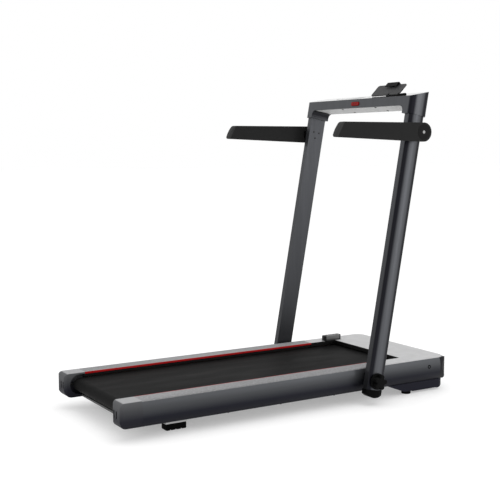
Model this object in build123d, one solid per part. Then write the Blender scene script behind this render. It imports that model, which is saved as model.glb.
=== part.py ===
from build123d import *
from math import asin, atan2, cos, degrees, radians, sin, sqrt
import os

# Folding home treadmill. Millimetres. +X runs forward, from the rear end of the deck to the motor
# end. +Y is the walker's left, +Z is up, and Z = 0 is the floor under the feet. The origin is on
# the floor, in the middle of the deck's length and width.

# Deck
LENGTH = 1435.0
DECK_TOP = 136.0
BELT_OPENING = 428.0        # between the two foot strips
RAIL_TOP_Y = 278.5          # outer top edge of a side rail
RAIL_BULGE_Y = 286.0
RAIL_BOTTOM_Y = 268.0
RAIL_INNER_Y = 246.0
RAIL_BOTTOM = 44.0
RAIL_LIP_Z = 122.0
STRIP_THICKNESS = 4.0
RAIL_WALL = 2.5
CAP_LENGTH = 80.0
SIDE_FRONT = 1392.0         # where the rails end and the bumper starts
HOOD_REAR = 1238.0          # the hood's edge over the belt
HOOD_WING = 1112.0          # where the hood's sides meet the foot strips
HOOD_FRONT = 1426.0
PLAN_CORNER = 42.0
BUMPER_CORNER = 40.0

# Belt and rollers
ROLLER_Z = 92.0
REAR_ROLLER = 58.0
FRONT_ROLLER = 1268.0
ROLLER_RADIUS = 21.0
BELT_GAP = 0.3
BELT_THICKNESS = 2.0
BELT_WIDTH = 430.0
ROLLER_BORE = 17.5
ROLLER_END_Y = BELT_WIDTH / 2 + 2
AXLE_RADIUS = 8.5
RUNNING_FIT = 0.05
TENSION_BOLT_Y = 231.0

# Uprights: a frame that leans forward and folds rearward about the lock knobs
PIVOT = 1026.5
PIVOT_Z = 92.0
LEAN = 10.2
POST_WIDTH = 72.6
POST_INNER_Y = 302.2
POST_EDGE_Y = 328.0
POST_BULGE_Y = 334.0
POST_WALL = 2.5
POST_BOTTOM = -37.0
CONSOLE_UNDER = 1043.5
SLEEVE_BOTTOM = 1013.5
SLEEVE_PROUD = 8.5
SLEEVE_SKIN = 2.5           # how far a sleeve stands out past the post's bulged side
CONSOLE_REAR_TOP = 1079.2
CONSOLE_SLOPE = 19.9        # console top against the square to the posts
ARMREST_UP = 948.3
ARMREST_INNER_Y = 358.6
ARMREST_OUTER_Y = 383.3
ARMREST_RADIUS = 35.4
ARMREST_NOSE = 3.5
MOVING_GAP = 0.3


def at(distance):
    """X of a point that is this far forward of the deck's rear end."""
    return distance - LENGTH / 2


def block(x0, x1, y0, y1, z0, z1):
    return Pos((x0 + x1) / 2, (y0 + y1) / 2, (z0 + z1) / 2) * Box(x1 - x0, y1 - y0, z1 - z0)


def rod(x, z, radius, y0, y1):
    """A cylinder along Y."""
    return Pos(x, (y0 + y1) / 2, z) * Rot(90, 0, 0) * Cylinder(radius, y1 - y0)


def ring(x, z, inner, outer, y0, y1):
    return rod(x, z, outer, y0, y1) - rod(x, z, inner, y0 - 1, y1 + 1)


def upright_pillar(x, y, radius, z0, z1):
    return Pos(x, y, (z0 + z1) / 2) * Cylinder(radius, z1 - z0)


def along_x(face, x0, x1):
    """Extrude a Y-Z outline from x0 to x1."""
    return Pos(x0, 0, 0) * extrude(Plane.YZ * face, x1 - x0)


def along_y(face, y0, y1):
    """Extrude an X-Z outline from y0 to y1."""
    return Pos(0, y1, 0) * extrude(Plane.XZ * face, y1 - y0)


def outline(*lines):
    edges = []
    for line in lines:
        edges.extend(line.edges())
    return make_face(edges)


def pair(part):
    """The part and its mirror image across the middle of the treadmill."""
    return [part, mirror(part, Plane.XZ)]


UPRIGHT = Pos(at(PIVOT), 0, PIVOT_Z) * Rot(0, LEAN, 0)
HALF_POST = POST_WIDTH / 2
HALF_CONSOLE = HALF_POST + SLEEVE_PROUD
CONSOLE_TOP = UPRIGHT * Pos(-HALF_CONSOLE, 0, CONSOLE_REAR_TOP) * Rot(0, -CONSOLE_SLOPE, 0)
CONSOLE_DEPTH = 2 * HALF_CONSOLE / cos(radians(CONSOLE_SLOPE))

PARTS = {}


def node(name, *solids):
    PARTS[name] = solids[0] if len(solids) == 1 else Compound(children=list(solids))


# ---------------------------------------------------------------- rails, strips and caps

def rail_outer_side(top):
    return ThreePointArc((RAIL_TOP_Y, top), (RAIL_BULGE_Y, 94), (RAIL_BOTTOM_Y, RAIL_BOTTOM))


def rail_face():
    top = DECK_TOP - STRIP_THICKNESS
    lip = BELT_OPENING / 2 + 8
    rest = Polyline(
        (RAIL_BOTTOM_Y, RAIL_BOTTOM),
        (RAIL_INNER_Y, RAIL_BOTTOM),
        (RAIL_INNER_Y, RAIL_LIP_Z),
        (lip, RAIL_LIP_Z),
        (lip, top),
        (RAIL_TOP_Y, top),
    )
    return outline(rail_outer_side(top), rest)


def side_rail():
    face = rail_face()
    lower_outer = face.vertices().sort_by(Axis.Y)[:2].sort_by(Axis.X)[-1]
    skin = fillet(lower_outer, 6)
    hollow = offset(skin, -RAIL_WALL, kind=Kind.INTERSECTION)
    rail = along_x(skin, at(CAP_LENGTH), at(SIDE_FRONT))
    return rail - along_x(hollow, at(CAP_LENGTH) - 1, at(SIDE_FRONT) + 1)


def foot_strip():
    inner = BELT_OPENING / 2 + 1.5
    plate = block(
        at(CAP_LENGTH), at(HOOD_WING), inner, RAIL_TOP_Y, DECK_TOP - STRIP_THICKNESS, DECK_TOP
    )
    lip = block(at(CAP_LENGTH), at(HOOD_WING), inner, inner + 2.5, 118, DECK_TOP - STRIP_THICKNESS)
    outer_edge = plate.edges().filter_by(Axis.X).group_by(Axis.Y)[-1].sort_by(Axis.Z)[-1]
    return fillet(outer_edge, 1.5) + lip


def red_trim():
    inner = BELT_OPENING / 2 - 0.5
    trim = block(at(CAP_LENGTH), at(HOOD_WING), inner, inner + 2.0, 129.0, DECK_TOP + 0.3)
    return fillet(trim.edges().filter_by(Axis.X).group_by(Axis.Z)[-1], 0.6)


def rear_cap():
    inner = BELT_OPENING / 2
    rest = Polyline(
        (RAIL_BOTTOM_Y, RAIL_BOTTOM), (inner, RAIL_BOTTOM), (inner, DECK_TOP), (RAIL_TOP_Y, DECK_TOP)
    )
    cap = along_x(outline(rail_outer_side(DECK_TOP), rest), at(0), at(CAP_LENGTH))
    corner = 12.0
    side = Pos(at(60), 90) * RectangleRounded(120, 92, 18)
    sole = Pos(at(100), RAIL_BOTTOM + 151) * RectangleRounded(200, 300, 28)
    plan = Pos(at(60), (inner + RAIL_BULGE_Y) / 2) * RectangleRounded(
        120, RAIL_BULGE_Y - inner, corner
    )
    inner_half = block(at(0), at(CAP_LENGTH), inner, 245, 40, 140)
    inner_half = fillet(
        inner_half.edges().filter_by(Axis.Z).group_by(Axis.X)[0].sort_by(Axis.Y)[0], 20
    )
    rounded = extrude(plan, 200) + inner_half
    cap = cap & rounded & along_y(side, 200, 300) & along_y(sole, 200, 300)
    cap = cap - rod(at(REAR_ROLLER), ROLLER_Z, 37, inner - 1, 240)
    cap = cap - block(at(REAR_ROLLER), at(CAP_LENGTH) + 1, inner - 1, 240, 55, 129)
    for y in (TENSION_BOLT_Y, TENSION_BOLT_Y + 19):
        slot = Pos(y, ROLLER_Z) * RectangleRounded(7, 27, 3.4)
        cap = cap - along_x(slot, at(-1), at(9))
    bore = Pos(at(15), TENSION_BOLT_Y, ROLLER_Z) * Rot(0, 90, 0) * Cylinder(4.5, 40)
    return cap - bore


def tension_bolt():
    turn = Rot(0, 90, 0)
    axle_side = at(REAR_ROLLER) - AXLE_RADIUS
    head = Pos(at(13), TENSION_BOLT_Y, ROLLER_Z) * turn * Cylinder(4.2, 8)
    shank = Pos((at(9) + axle_side) / 2, TENSION_BOLT_Y, ROLLER_Z) * turn * Cylinder(
        3.5, axle_side - at(9)
    )
    socket = Pos(at(9) + 2, TENSION_BOLT_Y, ROLLER_Z) * turn * extrude(RegularPolygon(2.5, 6), 5)
    return head + shank - Pos(-2, 0, 0) * socket


def build_deck_sides():
    for side, rail in zip(("left", "right"), pair(side_rail())):
        node(side + "_side_rail", rail)
    for side, strip in zip(("left", "right"), pair(foot_strip())):
        node(side + "_foot_strip", strip)
    for side, cap in zip(("left", "right"), pair(rear_cap())):
        node(side + "_rear_cap", cap)
    node("red_trims", *pair(red_trim()))
    node("tension_bolts", *pair(tension_bolt()))


# ---------------------------------------------------------------- running deck

def loop_face(x0, x1, radius):
    return Pos((x0 + x1) / 2, ROLLER_Z) * SlotCenterToCenter(x1 - x0, 2 * radius)


def running_belt():
    x0, x1 = at(REAR_ROLLER), at(FRONT_ROLLER)
    inner = ROLLER_RADIUS + BELT_GAP
    loop = loop_face(x0, x1, inner + BELT_THICKNESS) - loop_face(x0, x1, inner)
    return along_y(loop, -BELT_WIDTH / 2, BELT_WIDTH / 2)


BOARD_TOP = ROLLER_Z + ROLLER_RADIUS + BELT_GAP - 0.1
BOARD_BOTTOM = 97.0
SUPPORTS = (240.0, 660.0, 1110.0)
SUPPORT_TOP = 91.5
SUPPORT_BOTTOM = 74.5


def roller(x):
    return ring(x, ROLLER_Z, ROLLER_BORE, ROLLER_RADIUS, -ROLLER_END_Y, ROLLER_END_Y)


def roller_bearings(x):
    inner = AXLE_RADIUS + RUNNING_FIT
    return pair(ring(x, ROLLER_Z, inner, ROLLER_BORE, ROLLER_END_Y - 11, ROLLER_END_Y))


def hollow_bar(x0, x1, half_width, z0, z1, wall=2.5):
    bar = block(x0, x1, -half_width, half_width, z0, z1)
    bar = fillet(bar.edges().filter_by(Axis.Y), 3)
    bore = block(x0 + wall, x1 - wall, -half_width - 1, half_width + 1, z0 + wall, z1 - wall)
    return bar - bore


def build_running_deck():
    node("running_belt", running_belt())
    node("running_board", block(at(95), at(1230), -240, 240, BOARD_BOTTOM, BOARD_TOP))
    node("rear_cross_member", hollow_bar(at(66), at(104), BELT_OPENING / 2, 45, 54.5, 2))
    supports = [
        hollow_bar(at(x) - 20, at(x) + 20, RAIL_INNER_Y, SUPPORT_BOTTOM, SUPPORT_TOP) for x in SUPPORTS
    ]
    node("support_cross_members", *supports)
    cushions = []
    for x in SUPPORTS:
        for y in (-205, 205):
            cushions.append(upright_pillar(at(x), y, 16, SUPPORT_TOP, BOARD_BOTTOM))
    node("deck_cushions", *cushions)
    rear_axle = rod(at(REAR_ROLLER), ROLLER_Z, AXLE_RADIUS, -240, 240)
    front_axle = rod(at(FRONT_ROLLER), ROLLER_Z, AXLE_RADIUS, -RAIL_INNER_Y, RAIL_INNER_Y)
    node("roller_axles", rear_axle, front_axle)
    node("rear_roller", roller(at(REAR_ROLLER)))
    node("rear_roller_bearings", *roller_bearings(at(REAR_ROLLER)))
    node("front_roller", roller(at(FRONT_ROLLER)))
    node("front_roller_bearings", *roller_bearings(at(FRONT_ROLLER)))


# ---------------------------------------------------------------- motor end

MOTOR = 1352.0
MOTOR_Z = 62.0
DRIVE_Y0, DRIVE_Y1 = 221.0, 239.0
ROLLER_PULLEY_RADIUS = 28.0
MOTOR_PULLEY_RADIUS = 14.0
WHEEL = 1376.0
WHEEL_Z = 22.0
WHEEL_Y = 225.0
WHEEL_RADIUS = 19.5
FOOT = 1244.0
FOOT_Y = 250.0
FOOT_RADIUS = 18.5
HOUSING_BOTTOM = 8.0
HOUSING_Y = 270.0
FOOT_SEAT = 12.0
INLET_Y = 120.0
SWITCH_Y = 158.0
INLET_Z = 84.0
SOCKET_FACE = 1429.0


def grooved_wheel(x, z, radius, y0, y1):
    """A poly-V wheel: the belt's ribs run in the groove between two flanges."""
    wheel = rod(x, z, radius, y0, y1)
    groove = ring(x, z, radius - 2.5, radius + 1, y0 + 2, y1 - 2)
    return wheel - groove


def roller_pulley():
    x = at(FRONT_ROLLER)
    wheel = grooved_wheel(x, ROLLER_Z, ROLLER_PULLEY_RADIUS, DRIVE_Y0, DRIVE_Y1)
    collar = rod(x, ROLLER_Z, 15.5, ROLLER_END_Y, DRIVE_Y0)
    return wheel + collar - rod(x, ROLLER_Z, AXLE_RADIUS + RUNNING_FIT, 200, 250)


def motor_pulley():
    x = at(MOTOR)
    wheel = grooved_wheel(x, MOTOR_Z, MOTOR_PULLEY_RADIUS, DRIVE_Y0, DRIVE_Y1)
    flywheel = rod(x, MOTOR_Z, 33, 197.5, 205.5)
    return wheel + flywheel + rod(x, MOTOR_Z, 6, -30, DRIVE_Y0)


def drive_belt():
    """Open belt round both pulleys: the hull of two circles, less a smaller hull."""
    gap = at(MOTOR) - at(FRONT_ROLLER)
    rise = MOTOR_Z - ROLLER_Z

    def hull(grow):
        big = ROLLER_PULLEY_RADIUS - 2.3 + grow
        small = MOTOR_PULLEY_RADIUS - 2.3 + grow
        distance = sqrt(gap * gap + rise * rise)
        turn = atan2(rise, gap)
        spread = asin((big - small) / distance)
        corners = []
        for sign in (1, -1):
            angle = turn + sign * (radians(90) - spread)
            corners.append((big * cos(angle), big * sin(angle)))
            corners.append((gap + small * cos(angle), rise + small * sin(angle)))
        web = make_face(Polyline(corners[0], corners[1], corners[3], corners[2], corners[0]).edges())
        return web + Circle(big) + Pos(gap, rise) * Circle(small)

    loop = Pos(at(FRONT_ROLLER), ROLLER_Z) * (hull(1.9) - hull(0))
    return along_y(loop, DRIVE_Y0 + 3, DRIVE_Y1 - 3)


def drive_motor():
    x = at(MOTOR)
    can = rod(x, MOTOR_Z, 38, -20, 165)
    can = fillet(can.edges().filter_by(GeomType.CIRCLE), 3)
    front_bell = rod(x, MOTOR_Z, 34, 165, 192)
    rear_bell = rod(x, MOTOR_Z, 34, -28, -20)
    return can + front_bell + rear_bell - rod(x, MOTOR_Z, 6 + RUNNING_FIT, -40, 200)


def motor_bracket():
    """A cradle: two saddles on a foot plate bolted to the floor of the housing."""
    x = at(MOTOR)
    floor = HOUSING_BOTTOM + 3
    plate = block(x - 45, x + 24, 20, 130, floor, floor + 4)
    for y in (30, 105):
        plate = plate + block(x - 36, x + 24, y, y + 15, floor + 4, 48)
    return plate - rod(x, MOTOR_Z, 38, 0, 160)


def bumper_face(inset):
    """Side view of the front end: a bulged bumper."""
    top, bottom = 132.3 - inset, RAIL_BOTTOM + inset
    high, low, rear = at(1424) - inset, at(1421) - inset, at(SIDE_FRONT) - inset
    bow = ThreePointArc((high, top), (at(LENGTH) - inset, 86), (low, bottom))
    return outline(bow, Polyline((low, bottom), (rear, bottom), (rear, top), (high, top)))


def plan_solid(front, half_width, corner):
    """Everything behind the front edge, with the front corners rounded in plan."""
    shape = Pos(at(front) - 200, 0) * RectangleRounded(400, 2 * half_width, corner)
    return extrude(shape, 200)


def rail_width_solid(x0, x1, top):
    right = mirror(rail_outer_side(top), Plane.YZ)
    lower = Line((-RAIL_BOTTOM_Y, RAIL_BOTTOM), (RAIL_BOTTOM_Y, RAIL_BOTTOM))
    upper = Line((-RAIL_TOP_Y, top), (RAIL_TOP_Y, top))
    return along_x(outline(rail_outer_side(top), right, lower, upper), x0, x1)


def front_bumper():
    body = along_y(bumper_face(0), -300, 300)
    body = body & plan_solid(LENGTH, RAIL_BULGE_Y, BUMPER_CORNER)
    body = body & rail_width_solid(at(SIDE_FRONT), at(LENGTH) + 1, 132.3)
    hollow = along_y(bumper_face(3.5), -300, 300)
    hollow = hollow & plan_solid(LENGTH - 3.5, RAIL_BOTTOM_Y - 6, BUMPER_CORNER - 4)
    body = body - hollow
    window = block(at(1420), at(1440), INLET_Y - 18, SWITCH_Y + 12, INLET_Z - 14, INLET_Z + 14)
    return body - window


def power_inlet():
    """Three-blade appliance inlet in a flanged body, with the switch's frame beside it."""
    face = at(SOCKET_FACE)
    body = block(face - 24, face, INLET_Y - 17.9, SWITCH_Y + 11.9, INLET_Z - 13.9, INLET_Z + 13.9)
    cavity = Pos(INLET_Y, INLET_Z) * RectangleRounded(24.5, 16.5, 3)
    body = body - along_x(cavity, face - 16, face + 1)
    for y, z in ((-7, -2), (0, 3), (7, -2)):
        side, level = INLET_Y + y, INLET_Z + z
        body = body + block(face - 17, face - 5, side - 1, side + 1, level - 2, level + 2)
    well = block(face - 13, face + 1, SWITCH_Y - 6.5, SWITCH_Y + 6.5, INLET_Z - 11, INLET_Z + 11)
    return body - well + rod(face - 5, INLET_Z, 1.5, SWITCH_Y - 6.6, SWITCH_Y + 6.6)


def power_rocker():
    """A rocker that turns about a pin across its middle."""
    face = at(SOCKET_FACE)
    tip = 9.6
    side = make_face(
        Polyline(
            (face - 8.5, INLET_Z - 4),
            (face - 8.5, INLET_Z + 4),
            (face - 0.6, INLET_Z + tip),
            (face + 0.6, INLET_Z + tip),
            (face - 1.2, INLET_Z),
            (face + 3.0, INLET_Z - tip + 0.6),
            (face + 1.4, INLET_Z - tip),
            (face - 8.5, INLET_Z - 4),
        ).edges()
    )
    cap = along_y(side, SWITCH_Y - 6.2, SWITCH_Y + 6.2)
    return cap - rod(face - 5, INLET_Z, 1.5 + RUNNING_FIT, SWITCH_Y - 8, SWITCH_Y + 8)


def motor_hood():
    """A shallow cover; its sides run rearward past the belt's end to the foot strips."""
    half = BELT_OPENING / 2
    area = block(at(HOOD_REAR), at(LENGTH), -300, 300, 132.5, DECK_TOP)
    for wing in pair(block(at(HOOD_WING), at(LENGTH), half - 0.5, 300, 132.5, DECK_TOP)):
        area = area + wing
    hood = plan_solid(HOOD_FRONT, RAIL_TOP_Y, PLAN_CORNER) & area
    outer = hood.edges().group_by(Axis.Z)[-1].filter_by(
        lambda edge: abs(edge.center().Y) > 250 or edge.center().X > at(1400)
    )
    hood = fillet(outer, 1.8)
    lip = block(at(HOOD_REAR), at(HOOD_REAR) + 3, -half, half, 119, 132.5)
    lip = fillet(lip.edges().filter_by(Axis.Y).group_by(Axis.Z)[0], 1)
    for skirt in pair(block(at(HOOD_WING), at(HOOD_REAR) + 3, half - 0.5, half + 2, 119, 132.5)):
        lip = lip + skirt
    ribs = []
    for y in (-150, 0, 150):
        ribs.append(block(at(HOOD_REAR) + 2, at(HOOD_REAR) + 150, y - 1.5, y + 1.5, 126, 132.5))
    return hood + lip + ribs


def housing_side_face():
    arc = ThreePointArc((at(1426), 42), (at(1417), 19), (at(1386), HOUSING_BOTTOM))
    rest = Polyline(
        (at(1386), HOUSING_BOTTOM),
        (at(FOOT) + 21, HOUSING_BOTTOM),
        (at(FOOT) + 20, FOOT_SEAT),
        (at(FOOT) - 23, FOOT_SEAT),
        (at(1206), 17),
        (at(1144), 42),
        (at(1144), RAIL_BOTTOM),
        (at(1426), RAIL_BOTTOM),
        (at(1426), 42),
    )
    return outline(arc, rest)


def lower_housing():
    face = housing_side_face()
    shell = along_y(face, -HOUSING_Y, HOUSING_Y)
    shell = shell & plan_solid(1426, HOUSING_Y, BUMPER_CORNER - 10)
    bottom = shell.edges().filter_by(Axis.X).group_by(Axis.Z)[0]
    shell = fillet(bottom, 5)
    inner = offset(face, -3, kind=Kind.INTERSECTION)
    room = along_y(inner, -HOUSING_Y + 4, HOUSING_Y - 4)
    room = room & plan_solid(1422, HOUSING_Y - 4, BUMPER_CORNER - 14)
    room = room + (Pos(0, 0, 3.5) * room)
    shell = shell - room
    for sign in (-1, 1):
        y0, y1 = sorted((sign * (WHEEL_Y - 16), sign * (WHEEL_Y + 16)))
        walls = block(at(WHEEL) - 26, at(WHEEL) + 26, y0 - 3, y1 + 3, HOUSING_BOTTOM + 1, RAIL_BOTTOM)
        pocket = block(at(WHEEL) - 23, at(WHEEL) + 23, y0, y1, 0, RAIL_BOTTOM + 1)
        shell = shell + walls - pocket
        shell = shell - rod(at(WHEEL), WHEEL_Z, 3, y0 - 4, y1 + 4)
    return shell


def transport_wheel():
    wheel = rod(at(WHEEL), WHEEL_Z, WHEEL_RADIUS, WHEEL_Y - 11, WHEEL_Y + 11)
    wheel = fillet(wheel.edges().filter_by(GeomType.CIRCLE), 3)
    for side in (-1, 1):
        face_y = WHEEL_Y + side * 11
        y0, y1 = sorted((face_y - side * 3, face_y + side * 0.5))
        wheel = wheel - ring(at(WHEEL), WHEEL_Z, 6, 14, y0, y1)
    return wheel - rod(at(WHEEL), WHEEL_Z, 3 + RUNNING_FIT, 150, 300)


def front_foot():
    foot = upright_pillar(at(FOOT), FOOT_Y, FOOT_RADIUS, 0, FOOT_SEAT)
    return fillet(foot.edges().group_by(Axis.Z)[0], 2)


REAR_FOOT_X0, REAR_FOOT_X1 = 195.0, 278.0
REAR_FOOT_Y0, REAR_FOOT_Y1 = 186.0, 219.0
BRACKET_BOTTOM = 24.0
BRACKET_TOP = 50.0


def rear_foot():
    x0, x1 = at(REAR_FOOT_X0), at(REAR_FOOT_X1)
    foot = block(x0 + 2, x1 - 2, REAR_FOOT_Y0, REAR_FOOT_Y1, 0, BRACKET_BOTTOM)
    foot = chamfer(foot.edges().filter_by(Axis.Y).group_by(Axis.Z)[0], 3)
    grooves = 3
    for i in range(grooves):
        x = x0 + (i + 1) * (x1 - x0) / (grooves + 1)
        foot = foot - block(x - 2.5, x + 2.5, REAR_FOOT_Y0 - 1, REAR_FOOT_Y1 + 1, -1, 3)
    return foot


def rear_foot_bracket():
    """A bent steel strap: sole on the foot, upright web, flange to the rail's inner wall."""
    x0, x1 = at(REAR_FOOT_X0), at(REAR_FOOT_X1)
    web_y = REAR_FOOT_Y1 + 3
    sole = block(x0, x1, REAR_FOOT_Y0, web_y, BRACKET_BOTTOM, BRACKET_BOTTOM + 3)
    web = block(x0, x1, REAR_FOOT_Y1, web_y, BRACKET_BOTTOM, BRACKET_TOP)
    flange = block(x0, x1, REAR_FOOT_Y1, RAIL_INNER_Y, BRACKET_TOP - 3, BRACKET_TOP)
    tab = block(x0, x1, RAIL_INNER_Y - 3, RAIL_INNER_Y, BRACKET_TOP - 3, BRACKET_TOP + 16)
    return sole + web + flange + tab


def build_motor_end():
    node("roller_pulley", roller_pulley())
    node("motor_pulley", motor_pulley())
    node("drive_belt", drive_belt())
    node("drive_motor", drive_motor())
    node("motor_bracket", motor_bracket())
    controller = block(at(1288), at(1378), -195, -48, HOUSING_BOTTOM + 3, 66)
    node("controller_box", fillet(controller.edges().filter_by(Axis.Z), 6))
    node("motor_hood", motor_hood())
    node("front_bumper", front_bumper())
    node("lower_housing", lower_housing())
    node("power_inlet", power_inlet())
    node("power_rocker", power_rocker())
    for side, wheel in zip(("left", "right"), pair(transport_wheel())):
        node(side + "_transport_wheel", wheel)
    node("wheel_axles", *pair(rod(at(WHEEL), WHEEL_Z, 3, WHEEL_Y - 19, WHEEL_Y + 19)))
    node("front_feet", *pair(front_foot()))
    node("rear_feet", *pair(rear_foot()))
    node("rear_foot_brackets", *pair(rear_foot_bracket()))


# ---------------------------------------------------------------- pivots and lock knobs

BOLT_RADIUS = 6.0
KNOB_INNER_Y = POST_BULGE_Y + 1.5
KNOB_OUTER_Y = 362.0


def pivot_bracket():
    """A block that carries the pivot bolt, shaped to the rail's bulged side."""
    x = at(PIVOT)
    pad = block(x - 22, x + 40, 270, 296, 64, 120)
    pad = fillet(pad.edges().filter_by(Axis.Y), 10)
    boss = rod(x, PIVOT_Z, 27, 290, POST_INNER_Y - MOVING_GAP)
    rail = rail_width_solid(x - 60, x + 60, DECK_TOP - STRIP_THICKNESS)
    bore = rod(x, PIVOT_Z, BOLT_RADIUS + RUNNING_FIT, 250, 320)
    return pad + boss - rail - bore


def lock_knob():
    """A five-lobed clamp knob on the bolt that is the fold axis."""
    x = at(PIVOT)
    flange = rod(x, PIVOT_Z, 31, KNOB_INNER_Y, KNOB_INNER_Y + 8)
    flange = fillet(flange.edges().filter_by(GeomType.CIRCLE).group_by(Axis.Y)[-1], 2.5)
    lobes = 5
    star = Circle(19)
    for i in range(lobes):
        star = star + Rot(0, 0, i * 360 / lobes) * Pos(20, 0) * Circle(9.5)
    waist = star.vertices()
    star = fillet(waist, 3)
    grip = along_y(Pos(x, PIVOT_Z) * star, KNOB_INNER_Y + 7, KNOB_OUTER_Y)
    grip = fillet(grip.faces().sort_by(Axis.Y)[-1].edges(), 3)
    stem = rod(x, PIVOT_Z, BOLT_RADIUS, 288, KNOB_INNER_Y + 1)
    return flange + grip + stem


def build_pivots():
    node("pivot_brackets", *pair(pivot_bracket()))
    for side, knob in zip(("left", "right"), pair(lock_knob())):
        node(side + "_lock_knob", knob)


# ---------------------------------------------------------------- uprights and console

def post_face(grow, inner_grow, outer_grow, corner):
    """D section of a post in its own plane: flat inside, bulged outside."""
    half = HALF_POST + grow
    inner = POST_INNER_Y - inner_grow
    edge = POST_EDGE_Y + outer_grow
    bow = ThreePointArc((half, edge), (0, POST_BULGE_Y + outer_grow), (-half, edge))
    rest = Polyline((-half, edge), (-half, inner), (half, inner), (half, edge))
    face = outline(bow, rest)
    outer = face.vertices().group_by(Axis.Y)[-1]
    return fillet(outer, corner)


def post_prism(grow, inner_grow, outer_grow, t0, t1, corner=5.5):
    return Pos(0, 0, t0) * extrude(post_face(grow, inner_grow, outer_grow, corner), t1 - t0)


POST_TOP = CONSOLE_UNDER + 18


def post():
    outer = post_prism(0, 0, 0, POST_BOTTOM, POST_TOP)
    wall = POST_WALL
    hollow = post_prism(-wall, -wall, -wall, POST_BOTTOM + 70, POST_TOP + 1, 3.5)
    bolt = rod(0, 0, BOLT_RADIUS + RUNNING_FIT, 250, 350)
    return UPRIGHT * (outer - hollow - bolt)


def post_end_cap():
    """A rubber boot whose lower end is an arc about the fold axis."""
    boot = post_prism(1.2, 0.8, 1.2, -70, POST_BOTTOM)
    collar = post_prism(1.2, 0.8, 1.2, POST_BOTTOM, POST_BOTTOM + 3)
    collar = collar - post_prism(0, 0, 0, POST_BOTTOM - 1, 0)
    swing = rod(0, 0, 64, 290, 345)
    boot = (boot & swing) + collar
    return UPRIGHT * boot


def console_top_cut():
    return Pos(-HALF_CONSOLE, 0, CONSOLE_REAR_TOP) * Rot(0, -CONSOLE_SLOPE, 0) * Pos(100, 0, 50) * Box(
        400, 800, 100
    )


PANEL_THICKNESS = 3.0
COVER_THICKNESS = 3.0
CONSOLE_INNER_Y = POST_INNER_Y - SLEEVE_PROUD
INNER_CORNER = 20.0
COVER_Y = CONSOLE_INNER_Y - INNER_CORNER - 2.0
COVER_SCREWS = ((-34, 92), (27, 90), (-34, -119), (27, -122))


def console_outer():
    """The U of the console: a cross bar between two sleeves."""
    sleeves = pair(post_prism(SLEEVE_PROUD, SLEEVE_PROUD, SLEEVE_SKIN, SLEEVE_BOTTOM, 1130, 12.0))
    half = HALF_CONSOLE
    bar = block(-half, half, -CONSOLE_INNER_Y - 3, CONSOLE_INNER_Y + 3, CONSOLE_UNDER, 1130)
    body = sleeves[0] + sleeves[1] + bar
    for sign in (-1, 1):
        y = sign * (CONSOLE_INNER_Y - INNER_CORNER)
        y0, y1 = sorted((y, sign * (CONSOLE_INNER_Y + 1)))
        web = block(-half, half, y0, y1, CONSOLE_UNDER - INNER_CORNER, CONSOLE_UNDER + 1)
        round_cut = Pos(0, y, CONSOLE_UNDER - INNER_CORNER) * Rot(0, 90, 0) * Cylinder(
            INNER_CORNER, 2 * half + 2
        )
        body = body + (web - round_cut)
    return body - console_top_cut()


def top_slab(x0, x1, half_width, z0, z1, corner):
    """A slab in the plane of the console's top."""
    plan = Pos((x0 + x1) / 2, 0) * RectangleRounded(x1 - x0, 2 * half_width, corner)
    slab = Pos(0, 0, z0) * extrude(plan, z1 - z0)
    return Pos(-HALF_CONSOLE, 0, CONSOLE_REAR_TOP) * Rot(0, -CONSOLE_SLOPE, 0) * slab


KEY_Y = 0.0
KEY_T = 1060.0
KEY_WIDTH = 48.0
KEY_HEIGHT = 15.0


def key_outline(margin):
    return RectangleRounded(KEY_WIDTH + 2 * margin, KEY_HEIGHT + 2 * margin, KEY_HEIGHT / 2.6 + margin)


def console_frame():
    body = console_outer()
    half = HALF_CONSOLE
    for side in pair(post_prism(0, 0, 0, SLEEVE_BOTTOM - 1, POST_TOP)):
        body = body - side
    body = body - top_slab(2.2, CONSOLE_DEPTH - 2.2, 330, -PANEL_THICKNESS, 1, 5)
    cover_top = CONSOLE_UNDER + COVER_THICKNESS
    body = body - block(-half + 3, half - 3, -COVER_Y, COVER_Y, CONSOLE_UNDER - 1, cover_top)
    room = block(-half + 4, half - 4, -CONSOLE_INNER_Y + 8, CONSOLE_INNER_Y - 8, CONSOLE_UNDER, 1130)
    ceiling = Pos(0, 0, -PANEL_THICKNESS - 4) * console_top_cut()
    body = body - (room - ceiling)
    socket = Pos(KEY_Y, KEY_T) * key_outline(1.6)
    return UPRIGHT * (body - along_x(socket, -half - 1, -half + 5))


def console_underside_cover():
    half = HALF_CONSOLE - 3.1
    low = CONSOLE_UNDER - 0.4
    cover = block(-half, half, -COVER_Y + 0.1, COVER_Y - 0.1, low, CONSOLE_UNDER + COVER_THICKNESS)
    cover = fillet(cover.edges().filter_by(Axis.Z), 3)
    for u, y in COVER_SCREWS:
        cover = cover - upright_pillar(u, y, 2.6, low - 1, low + 2)
    return UPRIGHT * cover


def console_screws():
    screws = []
    low = CONSOLE_UNDER - 0.4
    for u, y in COVER_SCREWS:
        head = upright_pillar(u, y, 4.5, low - 1.7, low)
        head = fillet(head.edges().group_by(Axis.Z)[0], 1)
        cross = block(u - 2, u + 2, y - 0.5, y + 0.5, low - 2, low - 0.7)
        cross = cross + block(u - 0.5, u + 0.5, y - 2, y + 2, low - 2, low - 0.7)
        shank = upright_pillar(u, y, 2.5, low, low + 2)
        screws.append(UPRIGHT * (head + shank - cross))
    return screws


def console_top_panel():
    panel = top_slab(2.3, CONSOLE_DEPTH - 2.3, 329.9, -PANEL_THICKNESS, 0.2, 4.9)
    return UPRIGHT * panel


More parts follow.
